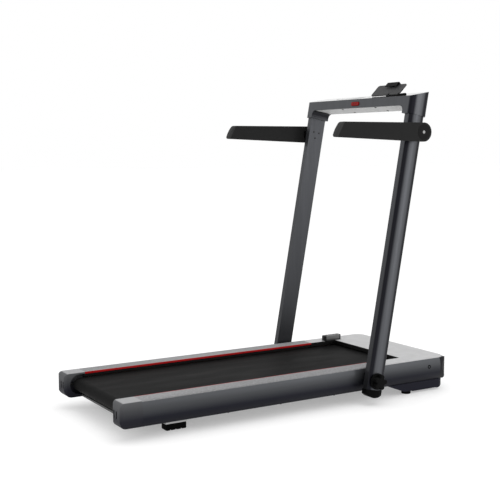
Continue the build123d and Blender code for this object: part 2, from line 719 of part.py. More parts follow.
def display_board():
    board = block(-20, 34, -150, 150, CONSOLE_UNDER + 14, CONSOLE_UNDER + 15.6)
    chips = block(-12, 12, -40, 40, CONSOLE_UNDER + 15.6, CONSOLE_UNDER + 19)
    posts = []
    for y in (-130, 130):
        posts.append(upright_pillar(0, y, 4, CONSOLE_UNDER + COVER_THICKNESS, CONSOLE_UNDER + 14))
    return UPRIGHT * (board + chips + posts)


def safety_key():
    """A red tab that sits proud of the console's rear face, with a tongue in the socket."""
    front = -HALF_CONSOLE
    tab = along_x(Pos(KEY_Y, KEY_T) * key_outline(0), front - 3.5, front + 2)
    tab = fillet(tab.edges().group_by(Axis.X)[0], 1.5)
    tongue = along_x(Pos(KEY_Y, KEY_T) * RectangleRounded(30, 6, 2), front + 1, front + 15)
    return UPRIGHT * (tab + tongue)


def safety_key_socket():
    front = -HALF_CONSOLE
    body = along_x(Pos(KEY_Y, KEY_T) * key_outline(1.5), front + 2.6, front + 5)
    sleeve = along_x(Pos(KEY_Y, KEY_T) * RectangleRounded(36, 11, 2), front + 4, front + 20)
    slot = along_x(Pos(KEY_Y, KEY_T) * RectangleRounded(31, 7, 2.4), front, front + 18)
    return UPRIGHT * (body + sleeve - slot)


def build_uprights():
    for side, part in zip(("left", "right"), pair(post())):
        node(side + "_post", part)
    node("post_end_caps", *pair(post_end_cap()))
    node("console_frame", console_frame())
    node("console_top_panel", console_top_panel())
    node("console_underside_cover", console_underside_cover())
    node("console_screws", *console_screws())
    node("display_board", display_board())
    node("safety_key", safety_key())
    node("safety_key_socket", safety_key_socket())


# ---------------------------------------------------------------- phone holder

HOLDER_X = 47.0             # hinge line, along the console's top from its rear edge
HOLDER_RISE = 3.8
HOLDER_TILT = 35.3          # plate against the console's top
PLATE_Y0, PLATE_Y1 = -210.0, -38.0
PLATE_START = -1.5
PLATE_LENGTH = 59.0
KNUCKLE_Y0, KNUCKLE_Y1 = -204.0, -152.0
KNUCKLE_RADIUS = 3.2
PIN_RADIUS = 1.6
HOLDER = CONSOLE_TOP * Pos(HOLDER_X, 0, HOLDER_RISE)
PLATE = HOLDER * Rot(0, -HOLDER_TILT, 0)


def phone_holder_base():
    """A low foot on the console with two ears that carry the hinge pin."""
    top = 0.2
    foot = Pos(HOLDER_X, -180, (top + 2.4) / 2) * Box(24, 74, 2.4 - top)
    foot = fillet(foot.edges().filter_by(Axis.Z), 3)
    foot = foot - block(
        HOLDER_X - 4.5, HOLDER_X + 8.5, KNUCKLE_Y0 - MOVING_GAP, KNUCKLE_Y1 + MOVING_GAP, top, 3
    )
    tail = Pos(HOLDER_X - 1, -228, (top + 6) / 2) * Box(22, 26, 6 - top)
    tail = chamfer(tail.edges().group_by(Axis.Z)[-1], 2)
    ears = []
    for y0 in (KNUCKLE_Y0 - 6.3, KNUCKLE_Y1 + 0.3):
        ear = rod(0, 0, KNUCKLE_RADIUS, y0, y0 + 6) + block(-3.2, 3.2, y0, y0 + 6, 1 - HOLDER_RISE, 0)
        ears.append(Pos(HOLDER_X, 0, HOLDER_RISE) * ear)
    pin = Pos(HOLDER_X, 0, HOLDER_RISE) * rod(0, 0, PIN_RADIUS, KNUCKLE_Y0 - 4, KNUCKLE_Y1 + 4)
    return CONSOLE_TOP * (foot + tail + ears + pin)


def phone_plate():
    plan = Pos(PLATE_START + PLATE_LENGTH / 2, (PLATE_Y0 + PLATE_Y1) / 2) * RectangleRounded(
        PLATE_LENGTH, PLATE_Y1 - PLATE_Y0, 9
    )
    plate = Pos(0, 0, -2) * extrude(plan, 4)
    plate = fillet(plate.edges().group_by(Axis.Z)[-1], 1)
    plate = plate - block(PLATE_START - 1, 6.5, PLATE_Y0 - 8, KNUCKLE_Y1 + 11, -3, 3)
    barrel = rod(0, 0, KNUCKLE_RADIUS, KNUCKLE_Y0, KNUCKLE_Y1)
    web = block(0, 8.5, KNUCKLE_Y0, KNUCKLE_Y1, -2, 2)
    return PLATE * (plate + barrel + web - rod(0, 0, PIN_RADIUS + RUNNING_FIT, -230, -120))


CLIP_Y0, CLIP_Y1 = -168.0, -100.0


def phone_clip():
    """A sprung jaw that hooks over the plate's upper edge."""
    end = PLATE_START + PLATE_LENGTH
    slider = block(end - 28, end + 4, CLIP_Y0 + 10, CLIP_Y1 - 10, -7.5, -2.4)
    bridge = block(end + 0.4, end + 4, CLIP_Y0, CLIP_Y1, -7.5, 11.5)
    jaw = block(end - 19, end + 4, CLIP_Y0, CLIP_Y1, 9, 11.5)
    clip = slider + bridge + jaw
    clip = fillet(clip.edges().filter_by(Axis.Y).group_by(Axis.X)[-1], 2)
    return PLATE * clip


def build_phone_holder():
    node("phone_holder_base", phone_holder_base())
    node("phone_plate", phone_plate())
    node("phone_clip", phone_clip())


# ---------------------------------------------------------------- armrests

ARM_X = at(PIVOT) + ARMREST_UP * sin(radians(LEAN))
ARM_Z = PIVOT_Z + ARMREST_UP * cos(radians(LEAN))
TIP_TOP = (at(819.0), 1058.8)
TIP_BOTTOM = (at(789.0), 1004.8)
TIP_BOW = 3.5
SKIN_DEPTH = 6.5
ARM_BOLT_RADIUS = 7.0


def arm_line_points():
    """Upper and lower edges of the armrest, tangent to its round front end."""
    points = []
    for (x, z), sign in ((TIP_TOP, 1), (TIP_BOTTOM, -1)):
        dx, dz = x - ARM_X, z - ARM_Z
        distance = sqrt(dx * dx + dz * dz)
        toward = atan2(dz, dx)
        spread = radians(90) - asin(ARMREST_RADIUS / distance)
        angle = toward - sign * spread
        points.append((ARM_X + ARMREST_RADIUS * cos(angle), ARM_Z + ARMREST_RADIUS * sin(angle)))
    return points


def armrest_face():
    upper, lower = arm_line_points()
    nose = (ARM_X + ARMREST_RADIUS + ARMREST_NOSE, ARM_Z)
    front = ThreePointArc(upper, nose, lower)
    middle = ((TIP_TOP[0] + TIP_BOTTOM[0]) / 2 - TIP_BOW, (TIP_TOP[1] + TIP_BOTTOM[1]) / 2 + TIP_BOW / 2)
    rear = ThreePointArc(TIP_TOP, middle, TIP_BOTTOM)
    face = outline(front, Line(lower, TIP_BOTTOM), rear, Line(TIP_TOP, upper))
    lower_tip = face.vertices().sort_by(Axis.X)[0]
    face = fillet(lower_tip, 7)
    upper_tip = face.vertices().sort_by_distance(TIP_TOP)[0]
    return fillet(upper_tip, 15)


def armrest_solid():
    arm = along_y(armrest_face(), ARMREST_INNER_Y, ARMREST_OUTER_Y)
    rims = arm.faces().filter_by(Axis.Y)
    edges = rims[0].edges() + rims[1].edges()
    return fillet(edges, 2.5)


def skin_region():
    """The slanted rear end of the armrest, which the softer skin covers."""
    dx, dz = TIP_TOP[0] - TIP_BOTTOM[0], TIP_TOP[1] - TIP_BOTTOM[1]
    slant = degrees(atan2(dz, dx))
    tip = Pos(TIP_BOTTOM[0], 0, TIP_BOTTOM[1]) * Rot(0, -slant, 0)
    return tip * block(-150, 150, 340, 400, -SKIN_DEPTH, 120)


def armrest_pieces():
    solid = armrest_solid()
    skin = solid & skin_region()
    shell = solid - skin_region()
    bore = rod(ARM_X, ARM_Z, ARM_BOLT_RADIUS + RUNNING_FIT, 350, ARMREST_OUTER_Y - 6)
    recess = rod(ARM_X, ARM_Z, 29.5, ARMREST_OUTER_Y - 3, ARMREST_OUTER_Y + 1)
    head_room = rod(ARM_X, ARM_Z, 13, ARMREST_OUTER_Y - 10, ARMREST_OUTER_Y)
    shell = shell - bore - recess - head_room
    disc = rod(ARM_X, ARM_Z, 29.3, ARMREST_OUTER_Y - 3, ARMREST_OUTER_Y + 0.6)
    disc = fillet(disc.edges().filter_by(GeomType.CIRCLE).group_by(Axis.Y)[-1], 1)
    return shell, skin, disc


def armrest_hub():
    """The fixed hub on the post, with the bolt that the armrest turns on."""
    hub = rod(0, ARMREST_UP, 26, 322, ARMREST_INNER_Y - MOVING_GAP)
    hub = hub - post_prism(0, 0, 0, ARMREST_UP - 60, ARMREST_UP + 60)
    bolt = rod(0, ARMREST_UP, ARM_BOLT_RADIUS, ARMREST_INNER_Y - 5, ARMREST_OUTER_Y - 7)
    head = rod(0, ARMREST_UP, 11, ARMREST_OUTER_Y - 9.7, ARMREST_OUTER_Y - 4)
    return UPRIGHT * (hub + bolt + head)


HUB_SCREWS = ((-14, 8), (13, 7), (-3, -17))


def hub_screws():
    screws = []
    for u, t in HUB_SCREWS:
        head = rod(u, ARMREST_UP + t, 3.4, POST_INNER_Y - 1.4, POST_INNER_Y)
        head = fillet(head.edges().filter_by(GeomType.CIRCLE).group_by(Axis.Y)[0], 0.8)
        socket = rod(u, ARMREST_UP + t, 1.4, POST_INNER_Y - 2, POST_INNER_Y - 0.5)
        screws.extend(pair(UPRIGHT * (head - socket)))
    return screws


def build_armrests():
    shell, skin, disc = armrest_pieces()
    for name, piece in (("armrest", shell), ("armrest_skin", skin), ("armrest_disc", disc)):
        for side, part in zip(("left", "right"), pair(piece)):
            node(side + "_" + name, part)
    node("armrest_hubs", *pair(armrest_hub()))
    node("armrest_hub_screws", *hub_screws())


# ---------------------------------------------------------------- remote control

REMOTE_X0, REMOTE_X1 = 1183.0, 1272.0
REMOTE_WIDTH = 26.0
REMOTE_HEIGHT = 22.5


def remote_control():
    """A small handset lying on the left side of the deck, half on the foot strip and half on the hood."""
    inner = BELT_OPENING / 2 - 2
    base = DECK_TOP + MOVING_GAP + 0.1
    body = block(
        at(REMOTE_X0), at(REMOTE_X1), inner, inner + REMOTE_WIDTH, base, base + REMOTE_HEIGHT
    )
    body = fillet(body.edges().filter_by(Axis.Z), 8)
    return fillet(body.edges().group_by(Axis.Z)[-1], 4)


def build_remote():
    node("remote_control", remote_control())


def main():
    os.makedirs("parts", exist_ok=True)
    build_deck_sides()
    build_running_deck()
    build_motor_end()
    build_pivots()
    build_uprights()
    build_phone_holder()
    build_armrests()
    build_remote()
    for name, part in PARTS.items():
        export_step(part, "parts/" + name + ".step")


main()
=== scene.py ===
import bpy
import bmesh
from math import cos, pi, radians, sin, sqrt
from mathutils import Matrix, Vector


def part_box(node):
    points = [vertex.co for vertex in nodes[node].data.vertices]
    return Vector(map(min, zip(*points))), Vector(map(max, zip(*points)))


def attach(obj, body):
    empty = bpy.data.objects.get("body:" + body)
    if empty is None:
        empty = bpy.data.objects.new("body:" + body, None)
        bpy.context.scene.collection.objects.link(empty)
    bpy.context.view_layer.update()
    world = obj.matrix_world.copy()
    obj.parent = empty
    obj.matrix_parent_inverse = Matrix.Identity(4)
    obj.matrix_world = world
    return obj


# Looks for a folding treadmill: materials for every CAD node, small detail pieces, a studio.
# Metres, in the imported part's frame.

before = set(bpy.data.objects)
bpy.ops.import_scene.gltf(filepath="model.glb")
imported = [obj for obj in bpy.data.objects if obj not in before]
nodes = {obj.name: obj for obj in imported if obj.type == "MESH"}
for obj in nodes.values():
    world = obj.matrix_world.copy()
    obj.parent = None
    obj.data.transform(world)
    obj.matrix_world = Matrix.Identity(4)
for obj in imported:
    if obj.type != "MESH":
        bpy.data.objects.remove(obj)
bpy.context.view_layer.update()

MM = 0.001
LENGTH = 1435 * MM
DECK_TOP = 136 * MM
RAIL_LOW = 44 * MM
RAIL_TOP = 132 * MM
RAIL_HEIGHT = RAIL_TOP - RAIL_LOW
OPENING_Y = 214 * MM  # edge of the belt's opening
PIVOT = Vector((1026.5 * MM - LENGTH / 2, 0, 92 * MM))
LEAN = radians(10.2)
HALF_POST = 36.3 * MM
HALF_CONSOLE = 44.8 * MM
CONSOLE_REAR_TOP = 1079.2 * MM
CONSOLE_SLOPE = radians(19.9)
ARMREST_UP = 948.3 * MM
POST_INNER_Y = 294.5 * MM
POST_EDGE_Y = 328 * MM
SLEEVE_BOTTOM = 1014 * MM  # the console frame's ends, measured up the posts
CONSOLE_LOW = 1044 * MM
KEY_UP = 1060 * MM
HOOD_REAR = 1238 * MM
REMOTE_REAR = 1183 * MM
REMOTE_LENGTH = 89 * MM
WHEEL_FORWARD = 1376 * MM
WHEEL_HEIGHT = 22 * MM
GRAIN_DEPTH = 0.12 * MM
CORNER_STEPS = 6
SLAB_CHAMFER = 0.3 * MM

UPRIGHT = Matrix.Translation(PIVOT) @ Matrix.Rotation(LEAN, 4, "Y")
CONSOLE_TOP = (
    UPRIGHT
    @ Matrix.Translation((-HALF_CONSOLE, 0, CONSOLE_REAR_TOP))
    @ Matrix.Rotation(-CONSOLE_SLOPE, 4, "Y")
)
ACROSS_POST = Vector((cos(LEAN), 0, -sin(LEAN)))
ALONG_POST = Vector((sin(LEAN), 0, cos(LEAN)))


def at(distance):
    """X of a point this far forward of the deck's rear end."""
    return distance - LENGTH / 2


# ---------------------------------------------------------------- material kit

def grey(value, blue=1.0):
    return (value, value, value * blue)


def scaled(colour, factor):
    return tuple(min(1.0, c * factor) for c in colour)


class Look:
    """One procedural material, built node by node on the piece's own coordinates."""

    def __init__(self, name, colour, rough, metallic=0.0, specular=0.5):
        self.material = bpy.data.materials.new(name)
        self.material.use_nodes = True
        self.tree = self.material.node_tree
        self.shader = self.tree.nodes["Principled BSDF"]
        self.shader.inputs["Base Color"].default_value = (*colour, 1)
        self.shader.inputs["Roughness"].default_value = rough
        self.shader.inputs["Metallic"].default_value = metallic
        self.shader.inputs["Specular IOR Level"].default_value = specular
        self.material.diffuse_color = (*colour, 1)
        self.place = self.new("ShaderNodeTexCoord").outputs["Object"]
        self.colour, self.rough = colour, rough
        self.tint = None

    def new(self, kind, **settings):
        made = self.tree.nodes.new(kind)
        for key, value in settings.items():
            setattr(made, key, value)
        return made

    def join(self, source, target):
        self.tree.links.new(source, target)

    def mapped(self, scale=(1, 1, 1), turn=(0, 0, 0)):
        node = self.new("ShaderNodeMapping")
        node.inputs["Scale"].default_value = scale
        node.inputs["Rotation"].default_value = turn
        self.join(self.place, node.inputs["Vector"])
        return node.outputs["Vector"]

    def noise(self, scale, detail=3.0, stretch=(1, 1, 1)):
        node = self.new("ShaderNodeTexNoise")
        node.inputs["Scale"].default_value = scale
        node.inputs["Detail"].default_value = detail
        self.join(self.mapped(stretch), node.inputs["Vector"])
        return node.outputs[0]

    def cells(self, scale, stretch=(1, 1, 1), feature="F1"):
        node = self.new("ShaderNodeTexVoronoi", feature=feature)
        node.inputs["Scale"].default_value = scale
        self.join(self.mapped(stretch), node.inputs["Vector"])
        return node.outputs["Distance"]

    def waves(self, period, turn):
        """Straight ridges this far apart, across X turned about Z."""
        node = self.new("ShaderNodeTexWave", wave_profile="SIN")
        node.inputs["Scale"].default_value = 2 * pi / (20 * period)
        self.join(self.mapped(turn=(0, 0, turn)), node.inputs["Vector"])
        return node.outputs["Fac"]

    def value(self, kind, a, b=None, c=None):
        node = self.new("ShaderNodeMath", operation=kind)
        for socket, x in zip(node.inputs, (a, b, c)):
            if x is None:
                continue
            if isinstance(x, (int, float)):
                socket.default_value = x
            else:
                self.join(x, socket)
        return node.outputs[0]

    def off(self, source, middle):
        """How far a value is from a middle one, either way."""
        return self.value("ABSOLUTE", self.value("SUBTRACT", source, middle))

    def product(self, first, *others):
        for other in others:
            first = self.value("MULTIPLY", first, other)
        return first

    def along(self, direction, origin):
        """Distance from origin along a direction."""
        shift = self.new("ShaderNodeVectorMath", operation="SUBTRACT")
        self.join(self.place, shift.inputs[0])
        shift.inputs[1].default_value = origin
        dot = self.new("ShaderNodeVectorMath", operation="DOT_PRODUCT")
        self.join(shift.outputs[0], dot.inputs[0])
        dot.inputs[1].default_value = direction
        return dot.outputs["Value"]

    def forward(self, x=0.0):
        return self.along((1, 0, 0), (x, 0, 0))

    def aside(self):
        """Distance to either side of the middle."""
        return self.value("ABSOLUTE", self.along((0, 1, 0), (0, 0, 0)))

    def above(self, z=0.0):
        return self.along((0, 0, 1), (0, 0, z))

    def from_axis(self, origin):
        """Distance from a line along Y."""
        x = self.along((1, 0, 0), origin)
        z = self.along((0, 0, 1), origin)
        squares = self.value("ADD", self.value("POWER", x, 2.0), self.value("POWER", z, 2.0))
        return self.value("SQRT", squares)

    def normal_y(self):
        geometry = self.new("ShaderNodeNewGeometry")
        parts = self.new("ShaderNodeSeparateXYZ")
        self.join(geometry.outputs["Normal"], parts.inputs[0])
        return self.value("ABSOLUTE", parts.outputs["Y"])

    def graded(self, source, stops):
        """Colour that follows a value through (place, colour) stops."""
        node = self.new("ShaderNodeValToRGB")
        elements = node.color_ramp.elements
        for element, (place, colour) in zip(elements, (stops[0], stops[-1])):
            element.position = place
            element.color = (*colour, 1)
        for place, colour in stops[1:-1]:
            elements.new(place).color = (*colour, 1)
        self.join(source, node.inputs[0])
        return node.outputs["Color"]

    def shaded(self, source, reach, stops):
        """Colour that follows a distance through stops placed at shares of a reach."""
        return self.graded(self.ranged(source, 0, 1, 0, reach), stops)

    def ranged(self, source, low, high, start=0.0, end=1.0):
        """The value's stretch from start to end, carried over to low to high and clamped."""
        node = self.new("ShaderNodeMapRange")
        self.join(source, node.inputs["Value"])
        for key, x in (("From Min", start), ("From Max", end), ("To Min", low), ("To Max", high)):
            node.inputs[key].default_value = x
        return node.outputs["Result"]

    def blended(self, factor, first, second, kind="MIX"):
        node = self.new("ShaderNodeMix", data_type="RGBA", blend_type=kind)
        factor_socket, first_socket, second_socket = (node.inputs[i] for i in (0, 6, 7))
        for socket, x in ((factor_socket, factor), (first_socket, first), (second_socket, second)):
            if isinstance(x, tuple):
                socket.default_value = (*x, 1)
            elif isinstance(x, (int, float)):
                socket.default_value = x
            else:
                self.join(x, socket)
        return node.outputs[2]

    def paint(self, colour):
        self.tint = colour
        self.join(colour, self.shader.inputs["Base Color"])

    def shade(self, colour):
        """Multiply the paint by another colour."""
        self.paint(self.blended(1.0, self.tint, colour, "MULTIPLY"))

    def mottle(self, amount, scale=22.0, stretch=(1, 1, 1)):
        stops = ((0.25, scaled(self.colour, 1 - amount)), (0.75, scaled(self.colour, 1 + amount)))
        self.paint(self.graded(self.noise(scale, 4.0, stretch), stops))
        return self

    def uneven(self, amount, scale=60.0, stretch=(1, 1, 1)):
        low, high = max(0.02, self.rough - amount), min(1.0, self.rough + amount)
        source = self.noise(scale, 3.0, stretch)
        self.join(self.ranged(source, low, high, 0.25, 0.75), self.shader.inputs["Roughness"])
        return self

    def relief(self, height, strength, depth):
        node = self.new("ShaderNodeBump")
        node.inputs["Strength"].default_value = strength
        node.inputs["Distance"].default_value = depth
        self.join(height, node.inputs["Height"])
        self.join(node.outputs["Normal"], self.shader.inputs["Normal"])
        return self

    def coat(self, weight, rough):
        self.shader.inputs["Coat Weight"].default_value = weight
        self.shader.inputs["Coat Roughness"].default_value = rough
        return self


def moulded(name, colour, rough, grain=0.25, pitch=0.7 * MM, specular=0.2):
    """Injection-moulded plastic with a spark-eroded grain."""
    look = Look(name, colour, rough, specular=specular).mottle(0.07).uneven(0.05)
    return look.relief(look.noise(1 / pitch, 2.0), grain, GRAIN_DEPTH)


def satin_metal(name, colour, rough, metallic=0.75, stretch=(0.02, 1, 1)):
    """Anodised or coated metal, with faint streaks along the extrusion."""
    look = Look(name, colour, rough, metallic).mottle(0.06, 60, stretch).uneven(0.06, 300, stretch)
    return look.relief(look.noise(900, 2.0, stretch), 0.12, 0.05 * MM)


# ---------------------------------------------------------------- materials

def rail_look():
    """Extrusion whose bowed side has painted light above and painted shade below its widest line.
    """
    look = satin_metal("rail_anodised", (0.092, 0.096, 0.104), 0.42)
    # Painted shade at the foot of the side, rising to painted light near the top.
    stops = (
        (0.0, (0.035, 0.035, 0.075)),
        (0.35, (0.07, 0.072, 0.13)),
        (0.7, grey(0.56)),
        (1.0, grey(0.90)),
    )
    look.shade(look.shaded(look.above(RAIL_LOW), RAIL_HEIGHT, stops))
    return look


def post_look(name, colour, low=1.0, corner=1.0):
    """Extrusion with a painted highlight along the middle of its bowed outer face and painted shade
    on its flanks.

    Its other faces carry painted shade towards the foot, by low, and in the corner under the
    console, by corner.
    """
    fade_start, fade_end = 150 * MM, 950 * MM
    edge_fade, corner_fade, clearance = 6 * MM, 16 * MM, 0.5 * MM
    look = satin_metal(name, colour, 0.34, stretch=(1, 1, 0.02))
    across = look.value("ABSOLUTE", look.along(ACROSS_POST, PIVOT))
    up = look.along(ALONG_POST, PIVOT)
    aside = look.aside()
    stops = (
        (0.0, grey(1.5)),
        (0.40, grey(1.25)),
        (0.66, (0.07, 0.07, 0.12)),
        (1.0, (0.05, 0.05, 0.09)),
    )
    # Painted highlight in the middle of the outer face, painted shade on its flanks.
    painted_highlight_band = look.shaded(across, HALF_POST, stops)
    # Painted shade on the other faces, deepening towards the foot.
    painted_foot_shade = look.blended(look.ranged(up, low, 1.0, fade_start, fade_end), grey(0.0), grey(1.0))
    outside = look.ranged(aside, 0, 1, POST_EDGE_Y - edge_fade, POST_EDGE_Y)
    # Painted shade in the corner under the console, between the posts.
    painted_corner_shade = look.product(
        look.value("LESS_THAN", aside, POST_INNER_Y),
        look.value("LESS_THAN", across, HALF_CONSOLE - clearance),
        look.value("LESS_THAN", up, CONSOLE_LOW),
        look.ranged(up, 0.4, 1, SLEEVE_BOTTOM, SLEEVE_BOTTOM + corner_fade),
    )
    look.shade(look.blended(painted_corner_shade, look.blended(outside, painted_foot_shade, painted_highlight_band), grey(corner, 1.25)))
    return look


def belt_look():
    """Running belt: fine diamond embossing, pale scuffs, one slanted splice."""
    pitch, slant, splice_width = 3.4 * MM, (0.96, 0.28, 0), 0.8 * MM
    look = Look("belt_weave", grey(0.022), 0.7, specular=0.04)
    weave = look.product(look.waves(pitch, radians(45)), look.waves(pitch, radians(-45)))
    scuff = look.noise(9, 6.0, (0.35, 1.6, 1))
    speckle = look.noise(700, 2.0)
    base = look.graded(scuff, ((0.3, grey(0.0052)), (0.72, grey(0.0095))))
    fine = look.graded(speckle, ((0.35, grey(0.75)), (0.65, grey(1.25))))
    look.paint(look.blended(1.0, base, fine, "MULTIPLY"))
    look.join(look.ranged(scuff, 0.55, 0.72, 0.3, 0.7), look.shader.inputs["Roughness"])
    splice = look.value("ABSOLUTE", look.along(slant, (at(640 * MM), 0, 0)))
    seam = look.ranged(splice, 0.0, 1.0, 0.0, splice_width)
    height = look.value("ADD", look.product(weave, 0.8), look.product(speckle, 0.5))
    return look.relief(look.product(height, seam), 0.55, 0.35 * MM)


def strip_look():
    """Foot strip: short raised dashes that give grip, with painted shadow, in black, below the
    rail's top.
    """
    look = Look("strip_grip", grey(0.235, 1.02), 0.6, specular=0.15)
    dashes = look.cells(330, (0.4, 1, 1))
    tone = look.graded(dashes, ((0.05, grey(0.31, 1.02)), (0.6, grey(0.20, 1.02))))
    wear = look.graded(look.noise(7, 4.0, (0.3, 1, 1)), ((0.3, grey(0.9)), (0.7, grey(1.1))))
    # Painted shadow: the strip's lip below the rail's top is black.
    shown = look.ranged(look.above(), 0, 1, RAIL_TOP - 1 * MM, RAIL_TOP)
    look.paint(look.blended(shown, grey(0.004), look.blended(1.0, tone, wear, "MULTIPLY")))
    look.uneven(0.06, 90)
    return look.relief(look.value("SUBTRACT", 1.0, dashes), 0.5, 0.5 * MM)


def panel_look():
    """Console top: polished black sheet, faintly uneven."""
    look = Look("console_gloss", grey(0.018, 1.1), 0.10).mottle(0.15, 8).uneven(0.03, 40)
    look.coat(0.6, 0.05)
    return look.relief(look.noise(30, 2.0), 0.03, 0.05 * MM)


def disc_look():
    """Armrest disc: a pale screw cap in its middle, with a groove round it."""
    look = moulded("armrest_disc_mould", grey(0.012), 0.5, specular=0.08)
    stops = (
        (0.0, grey(0.36)),
        (0.20, grey(0.34)),
        (0.215, grey(0.002)),
        (0.25, grey(0.007)),
        (1.0, grey(0.006)),
    )
    radius = look.from_axis(UPRIGHT @ Vector((0, 0, ARMREST_UP)))
    facing = look.ranged(look.normal_y(), 0, 1, 0.9, 0.97)
    look.paint(look.blended(facing, look.tint, look.shaded(radius, 28 * MM, stops)))
    return look


def wheel_look():
    """Transport wheel: a rubber tread round a grey plastic hub."""
    look = moulded("wheel_tread", grey(0.018), 0.6)
    radius = look.from_axis((at(WHEEL_FORWARD), 0, WHEEL_HEIGHT))
    stops = ((0.0, grey(0.16)), (0.66, grey(0.15)), (0.70, grey(0.016)), (1.0, grey(0.020)))
    look.paint(look.shaded(radius, 20 * MM, stops))
    return look


def cap_look():
    """Rear cap: pale on top, its side carries painted shade graded like the rail's, and its slots
    hold painted shade.
    """
    bolt_slot_y, plain_slot_y, slot_height, slot_depth = (x * MM for x in (231, 250, 48, 9.2))
    slot_half_width, slot_half_length = 3.6 * MM, 13.7 * MM
    look = moulded("cap_mould", grey(0.110, 1.06), 0.46, 0.15, specular=0.07)
    aside, height = look.aside(), look.above(RAIL_LOW)
    # Painted shade for the side, dark below and paler up, as on the rail.
    stops = (
        (0.0, (0.004, 0.004, 0.008)),
        (0.35, (0.008, 0.008, 0.014)),
        (0.7, (0.045, 0.046, 0.050)),
        (1.0, (0.085, 0.086, 0.090)),
    )
    side = look.blended(0.06, look.shaded(height, RAIL_HEIGHT, stops), look.tint)
    top = look.ranged(height, 0, 1, RAIL_HEIGHT + 2 * MM, RAIL_HEIGHT + 3.5 * MM)
    colour = look.blended(top, side, grey(0.32, 1.02))
    # Painted shade inside the two slots in the rear face.
    nearest = look.value("MINIMUM", look.off(aside, bolt_slot_y), look.off(aside, plain_slot_y))
    slot_shade = look.product(
        look.value("LESS_THAN", nearest, slot_half_width),
        look.value("LESS_THAN", look.off(height, slot_height), slot_half_length),
        look.value("LESS_THAN", look.forward(), at(slot_depth)),
    )
    look.paint(look.blended(slot_shade, colour, grey(0.002)))
    return look


def hood_look():
    """Motor hood: pale, with a black underside and a black lip over the belt."""
    look = moulded("hood_mould", grey(0.45, 1.01), 0.45, 0.12, 1.0 * MM)
    ahead = look.ranged(look.forward(at(HOOD_REAR)), 0, 1, 0.1 * MM, 1.6 * MM)
    beside = look.ranged(look.aside(), 0, 1, OPENING_Y - 0.3 * MM, OPENING_Y + 0.2 * MM)
    over = look.ranged(look.above(RAIL_TOP), 0, 1, -0.4 * MM, 0.6 * MM)
    shown = look.product(look.value("MAXIMUM", ahead, beside), over)
    look.paint(look.blended(shown, grey(0.003), look.tint))
    return look


def remote_look():
    """Handset: grey between two dark ends, with painted shade low on its sides."""
    look = moulded("remote_mould", grey(0.17), 0.4, 0.15)
    stops = ((0.08, grey(0.010)), (0.13, grey(0.17)), (0.86, grey(0.17)), (0.91, grey(0.010)))
    ends = look.shaded(look.forward(at(REMOTE_REAR)), REMOTE_LENGTH, stops)
    # Painted shade on the lower part of the sides.
    side_low, side_high = 3 * MM, 12 * MM
    height = look.ranged(look.above(DECK_TOP), 0.12, 1.0, side_low, side_high)
    look.paint(look.blended(height, grey(0.012), ends))
    return look


def board_look():
    """Running board: a dark phenolic face on wood-fibre core."""
    look = Look("board_fibre", (0.10, 0.07, 0.045), 0.6).mottle(0.25, 160, (0.3, 1, 1))
    look.uneven(0.08)
    return look.relief(look.noise(500, 3.0), 0.2, 0.1 * MM)


def circuit_look():
    """Circuit board: green lacquer with paler tracks."""
    lacquer, track = (0.01, 0.10, 0.045), (0.03, 0.16, 0.08)
    look = Look("circuit_board", lacquer, 0.4)
    look.paint(look.graded(look.cells(260, feature="F2"), ((0.3, lacquer), (0.55, track))))
    look.uneven(0.08)
    return look.relief(look.cells(260), 0.2, 0.1 * MM)


def motor_look():
    """Motor can: coated metal with faint streaks along its axis."""
    streak = (1, 0.05, 1)
    look = Look("motor_can", grey(0.07), 0.42, 0.8).mottle(0.1, 80, streak)
    look.uneven(0.08, 200, streak)
    return look.relief(look.noise(900, 2.0, (1, 0.03, 1)), 0.15, 0.08 * MM)


def steel_look():
    """Ground steel, with faint streaks along the axis."""
    streak = (1, 0.05, 1)
    look = Look("turned_steel", grey(0.52), 0.28, 1.0).mottle(0.05, 300, streak)
    look.uneven(0.08, 500, streak)
    return look.relief(look.noise(1500, 2.0, (1, 0.03, 1)), 0.1, 0.04 * MM)


def rubber(name, value, rough=0.72):
    """Dull rubber with a fine grain."""
    look = Look(name, grey(value), rough, specular=0.05).mottle(0.15, 40).uneven(0.06)
    return look.relief(look.noise(1100, 3.0), 0.3, GRAIN_DEPTH)


def trim_look():
    """Red trim line, faintly streaked along its length."""
    look = Look("trim_red_satin", (0.40, 0.002, 0.004), 0.45, specular=0.2)
    return look.mottle(0.08, 50, (0.1, 1, 1)).uneven(0.05)


def key_look():
    """Safety key: red plastic with a slight gloss."""
    look = Look("key_red_gloss", (0.20, 0.003, 0.003), 0.45, specular=0.12)
    look.mottle(0.08, 90).uneven(0.05, 200).coat(0.03, 0.2)
    return look.relief(look.noise(600, 2.0), 0.08, 0.05 * MM)


